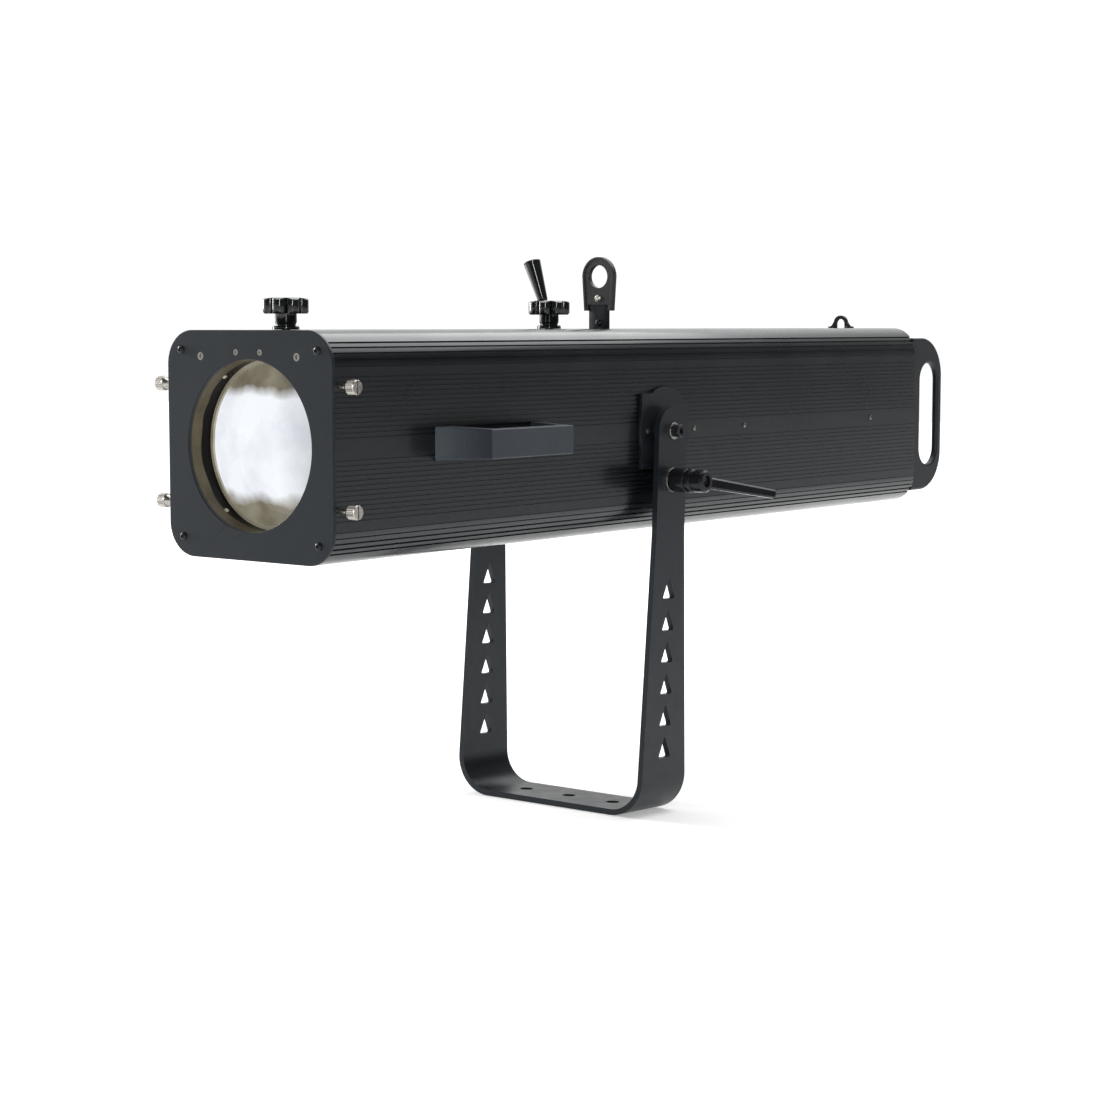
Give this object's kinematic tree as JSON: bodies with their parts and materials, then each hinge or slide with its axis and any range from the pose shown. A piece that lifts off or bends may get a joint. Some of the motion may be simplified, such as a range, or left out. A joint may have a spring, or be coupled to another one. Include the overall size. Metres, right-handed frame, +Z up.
{
  "type": "follow spot",
  "caption": "Long square-section follow spot with ribbed housing, recessed lens, focus and zoom knobs, iris lever, grips and a tilting strap yoke.",
  "frame": {"origin": "underside of the yoke base, at the middle hole's centre", "axes": "+Z up, +Y to the rear along the housing (the lens faces -Y), +X to the right seen from the lens end"},
  "size_m": [0.3423, 1.0876, 0.5747],
  "materials": {
    "black_powder_coat": "satin",
    "black_anodised": "anodised satin",
    "grip_black": "satin powder coat",
    "handle_black": "fine textured satin",
    "gloss_black_plastic": "gloss",
    "satin_black_plastic": "satin",
    "lever_black": "satin",
    "black_steel": "black oxide",
    "bright_steel": "nickel plated",
    "plain_aluminium": "plain",
    "inner_black": "matt black",
    "lens_cell_metal": "polished tan",
    "lens_ring_metal": "pale gold",
    "lens_glass": "clear",
    "lamp_module": "white"
  },
  "bodies": {
    "yoke": {"yoke": "black_powder_coat", "brake_shoe": "black_powder_coat", "clamp_washer": "bright_steel"},
    "clamp_stud": {"clamp_stud": "bright_steel", "clamp_lever_screw": "bright_steel"},
    "clamp_lever": {"clamp_lever": "lever_black"},
    "head": {"bracket_plate_right": "black_powder_coat", "bracket_plate_left": "black_powder_coat", "pivot_bolts": "black_steel", "pivot_washers": "bright_steel", "pivot_spacers": "black_steel", "lower_housing": "black_anodised", "upper_housing": "black_anodised", "front_plate": "black_powder_coat", "front_plate_screws": "black_steel", "front_bulkhead": "black_powder_coat", "silver_screws": "bright_steel", "guide_rods": "bright_steel", "iris_housing": "inner_black", "gate_frame": "inner_black", "lamp_tray": "plain_aluminium", "condenser_lens": "lens_glass", "led_module": "lamp_module", "heat_sink": "plain_aluminium", "fan_frame": "satin_black_plastic", "power_supply": "plain_aluminium", "rear_panel": "black_powder_coat", "power_inlet": "satin_black_plastic", "switch_frame": "satin_black_plastic", "data_sockets": "satin_black_plastic", "rear_grip_right": "grip_black", "rear_grip_left": "grip_black", "side_handle_right": "handle_black", "side_handle_left": "handle_black", "handle_screws": "black_steel", "safety_eye": "black_steel"},
    "focus_carriage": {"focus_carriage": "inner_black", "focus_lens_cell": "lens_cell_metal", "focus_lens": "lens_glass", "focus_lens_ring": "lens_ring_metal"},
    "focus_knob": {"focus_knob": "gloss_black_plastic"},
    "zoom_carriage": {"zoom_carriage": "inner_black", "zoom_lens": "lens_glass"},
    "zoom_knob": {"zoom_knob": "gloss_black_plastic"},
    "iris_ring": {"iris_ring": "plain_aluminium", "iris_handle": "gloss_black_plastic"},
    "gate_slide": {"gate_slide": "black_steel", "ring_paddle": "satin_black_plastic", "paddle_screws": "bright_steel"},
    "fan_rotor": {"fan_rotor": "satin_black_plastic"},
    "power_rocker": {"power_rocker": "satin_black_plastic"},
    "iris_leaf_1": {"iris_leaf_1": "inner_black"},
    "iris_leaf_2": {"iris_leaf_2": "inner_black"},
    "iris_leaf_3": {"iris_leaf_3": "inner_black"},
    "iris_leaf_4": {"iris_leaf_4": "inner_black"},
    "iris_leaf_5": {"iris_leaf_5": "inner_black"},
    "thumbscrew_1": {"thumbscrew_1": "bright_steel"},
    "thumbscrew_2": {"thumbscrew_2": "bright_steel"},
    "thumbscrew_3": {"thumbscrew_3": "bright_steel"},
    "thumbscrew_4": {"thumbscrew_4": "bright_steel"}
  },
  "joints": [
    {"name": "head_tilt", "type": "hinge", "parent": "yoke", "child": "head", "pos_m": [0, 0, 0.395], "axis": [1, 0, 0], "range_deg": [-50, 50]},
    {"name": "clamp_turn", "type": "hinge", "parent": "yoke", "child": "clamp_stud", "pos_m": [0.12, 0, 0.345], "axis": [1, 0, 0], "range_deg": [-90, 90]},
    {"name": "clamp_lift", "type": "slide", "parent": "clamp_stud", "child": "clamp_lever", "axis": [1, 0, 0], "range_m": [0, 0.004], "stiffness_N_per_m": 1500, "springref_m": -0.001},
    {"name": "focus_slide", "type": "slide", "parent": "head", "child": "focus_carriage", "axis": [0, 0.9992, 0.0401], "range_m": [0, 0.13]},
    {"name": "focus_knob_turn", "type": "hinge", "parent": "focus_carriage", "child": "focus_knob", "pos_m": [0, -0.43846, 0.49248], "axis": [0, -0.0401, 0.9992], "continuous": true},
    {"name": "zoom_slide", "type": "slide", "parent": "head", "child": "zoom_carriage", "axis": [0, 0.9992, 0.0401], "range_m": [-0.1, 0]},
    {"name": "zoom_knob_turn", "type": "hinge", "parent": "zoom_carriage", "child": "zoom_knob", "pos_m": [0, -0.05457, 0.5079], "axis": [0, -0.0401, 0.9992], "continuous": true},
    {"name": "iris_turn", "type": "hinge", "parent": "head", "child": "iris_ring", "pos_m": [0, 0.001, 0.39504], "axis": [0, 0.9992, 0.0401], "range_deg": [0, 40]},
    {"name": "gate_lift", "type": "slide", "parent": "head", "child": "gate_slide", "axis": [0, -0.0401, 0.9992], "range_m": [0, 0.11]},
    {"name": "fan_spin", "type": "hinge", "parent": "head", "child": "fan_rotor", "pos_m": [0, 0.27378, 0.406], "axis": [0, 0.9992, 0.0401], "continuous": true},
    {"name": "power_rocker_tip", "type": "hinge", "parent": "head", "child": "power_rocker", "pos_m": [0.022, 0.51739, 0.34572], "axis": [1, 0, 0], "range_deg": [-16, 0]},
    {"name": "iris_leaf_1_swing", "type": "hinge", "parent": "head", "child": "iris_leaf_1", "pos_m": [0.06, -0.00799, 0.39468], "axis": [0, 0.9992, 0.0401], "range_deg": [-25, 0]},
    {"name": "iris_leaf_2_swing", "type": "hinge", "parent": "head", "child": "iris_leaf_2", "pos_m": [0.01854, -0.01028, 0.4517], "axis": [0, 0.9992, 0.0401], "range_deg": [-25, 0]},
    {"name": "iris_leaf_3_swing", "type": "hinge", "parent": "head", "child": "iris_leaf_3", "pos_m": [-0.04854, -0.00941, 0.42992], "axis": [0, 0.9992, 0.0401], "range_deg": [-25, 0]},
    {"name": "iris_leaf_4_swing", "type": "hinge", "parent": "head", "child": "iris_leaf_4", "pos_m": [-0.04854, -0.00658, 0.35944], "axis": [0, 0.9992, 0.0401], "range_deg": [-25, 0]},
    {"name": "iris_leaf_5_swing", "type": "hinge", "parent": "head", "child": "iris_leaf_5", "pos_m": [0.01854, -0.0057, 0.33766], "axis": [0, 0.9992, 0.0401], "range_deg": [-25, 0]},
    {"name": "thumbscrew_1_turn", "type": "hinge", "parent": "head", "child": "thumbscrew_1", "pos_m": [0.11, -0.47579, 0.42993], "axis": [1, 0, 0], "continuous": true},
    {"name": "thumbscrew_2_turn", "type": "hinge", "parent": "head", "child": "thumbscrew_2", "pos_m": [0.11, -0.47145, 0.32202], "axis": [1, 0, 0], "continuous": true},
    {"name": "thumbscrew_3_turn", "type": "hinge", "parent": "head", "child": "thumbscrew_3", "pos_m": [-0.11, -0.47579, 0.42993], "axis": [1, 0, 0], "continuous": true},
    {"name": "thumbscrew_4_turn", "type": "hinge", "parent": "head", "child": "thumbscrew_4", "pos_m": [-0.11, -0.47145, 0.32202], "axis": [1, 0, 0], "continuous": true}
  ],
  "couplings": [
    {"joint": "iris_leaf_1_swing", "follows": "iris_turn", "ratio": -0.625},
    {"joint": "iris_leaf_2_swing", "follows": "iris_turn", "ratio": -0.625},
    {"joint": "iris_leaf_3_swing", "follows": "iris_turn", "ratio": -0.625},
    {"joint": "iris_leaf_4_swing", "follows": "iris_turn", "ratio": -0.625},
    {"joint": "iris_leaf_5_swing", "follows": "iris_turn", "ratio": -0.625}
  ]
}
